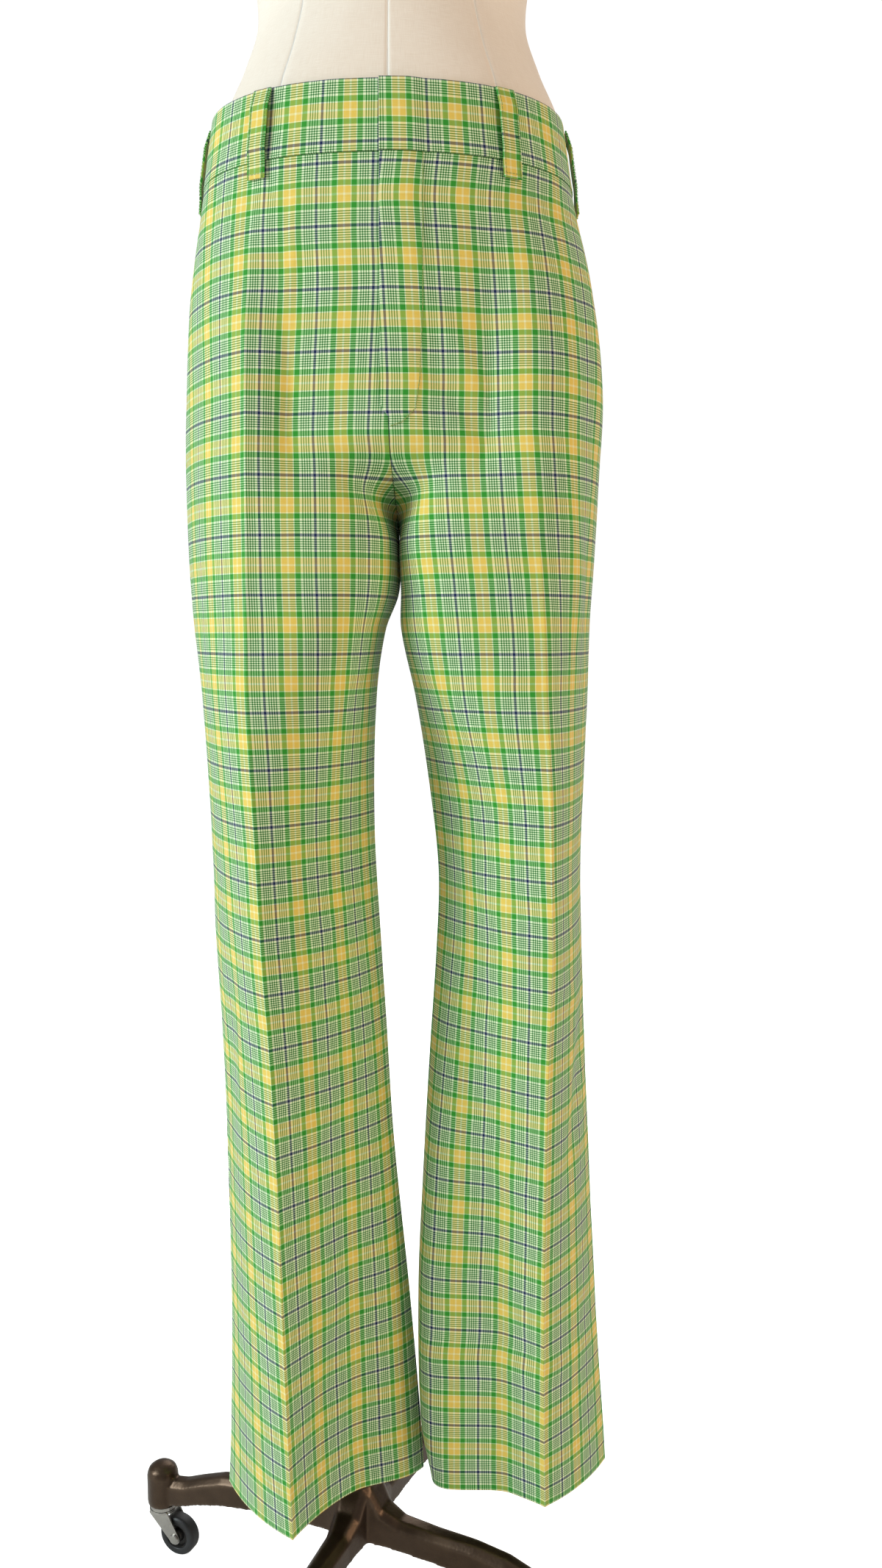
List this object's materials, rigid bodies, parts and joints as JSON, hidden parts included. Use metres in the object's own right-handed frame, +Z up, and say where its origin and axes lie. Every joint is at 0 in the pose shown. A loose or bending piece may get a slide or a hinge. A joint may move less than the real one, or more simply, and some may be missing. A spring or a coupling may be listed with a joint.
{
  "type": "tailored flared trousers on a dress form with a caster stand",
  "caption": "Pressed, flared trousers in a green, yellow and navy check, with belt loops and side pockets, worn by a linen dress form on a cast base with swivelling casters.",
  "frame": {"origin": "on the floor, under the middle of the whole part", "axes": "+Z up, the front of the trousers faces -Y, +X to the right of someone who faces them"},
  "size_m": [0.4237, 0.413, 1.8003],
  "materials": {
    "cloth": "plain-weave check, soft and dry",
    "linen": "unbleached linen stretched smooth",
    "cap": "satin brown paint",
    "cast": "dark bronze paint over a casting",
    "steel": "dull plated steel",
    "tyre": "smooth black"
  },
  "bodies": {
    "form_and_base": {"front_left": "cloth", "front_right": "cloth", "back_left": "cloth", "back_right": "cloth", "waistband_left": "cloth", "waistband_right": "cloth", "pocket_facing_left": "cloth", "pocket_facing_right": "cloth", "belt_loop_1": "cloth", "belt_loop_2": "cloth", "belt_loop_3": "cloth", "belt_loop_4": "cloth", "belt_loop_5": "cloth", "torso": "linen", "neck_cap": "cap", "arm_plate_left": "cap", "arm_plate_right": "cap", "base": "cast", "pole": "steel", "flange": "steel", "caster_plate_1": "steel", "caster_plate_2": "steel", "caster_plate_3": "steel", "caster_plate_4": "steel"},
    "caster_fork_1": {"fork_1": "steel"},
    "caster_wheel_1": {"wheel_1": "tyre"},
    "caster_fork_2": {"fork_2": "steel"},
    "caster_wheel_2": {"wheel_2": "tyre"},
    "caster_fork_3": {"fork_3": "steel"},
    "caster_wheel_3": {"wheel_3": "tyre"},
    "caster_fork_4": {"fork_4": "steel"},
    "caster_wheel_4": {"wheel_4": "tyre"}
  },
  "joints": [
    {"name": "caster_swivel_1", "type": "hinge", "parent": "form_and_base", "child": "caster_fork_1", "pos_m": [-0.19743, 0.08267, 0.04], "axis": [0, 0, 1], "continuous": true},
    {"name": "wheel_roll_1", "type": "hinge", "parent": "caster_fork_1", "child": "caster_wheel_1", "pos_m": [-0.1809, 0.07555, 0.0185], "axis": [-0.3955, -0.9184, 0], "continuous": true},
    {"name": "caster_swivel_2", "type": "hinge", "parent": "form_and_base", "child": "caster_fork_2", "pos_m": [-0.08814, -0.19195, 0.04], "axis": [0, 0, 1], "continuous": true},
    {"name": "wheel_roll_2", "type": "hinge", "parent": "caster_fork_2", "child": "caster_wheel_2", "pos_m": [-0.08102, -0.17542, 0.0185], "axis": [0.9184, -0.3955, 0], "continuous": true},
    {"name": "caster_swivel_3", "type": "hinge", "parent": "form_and_base", "child": "caster_fork_3", "pos_m": [0.18648, -0.08267, 0.04], "axis": [0, 0, 1], "continuous": true},
    {"name": "wheel_roll_3", "type": "hinge", "parent": "caster_fork_3", "child": "caster_wheel_3", "pos_m": [0.16995, -0.07555, 0.0185], "axis": [0.3955, 0.9184, 0], "continuous": true},
    {"name": "caster_swivel_4", "type": "hinge", "parent": "form_and_base", "child": "caster_fork_4", "pos_m": [0.0772, 0.19195, 0.04], "axis": [0, 0, 1], "continuous": true},
    {"name": "wheel_roll_4", "type": "hinge", "parent": "caster_fork_4", "child": "caster_wheel_4", "pos_m": [0.07008, 0.17542, 0.0185], "axis": [-0.9184, 0.3955, 0], "continuous": true}
  ]
}
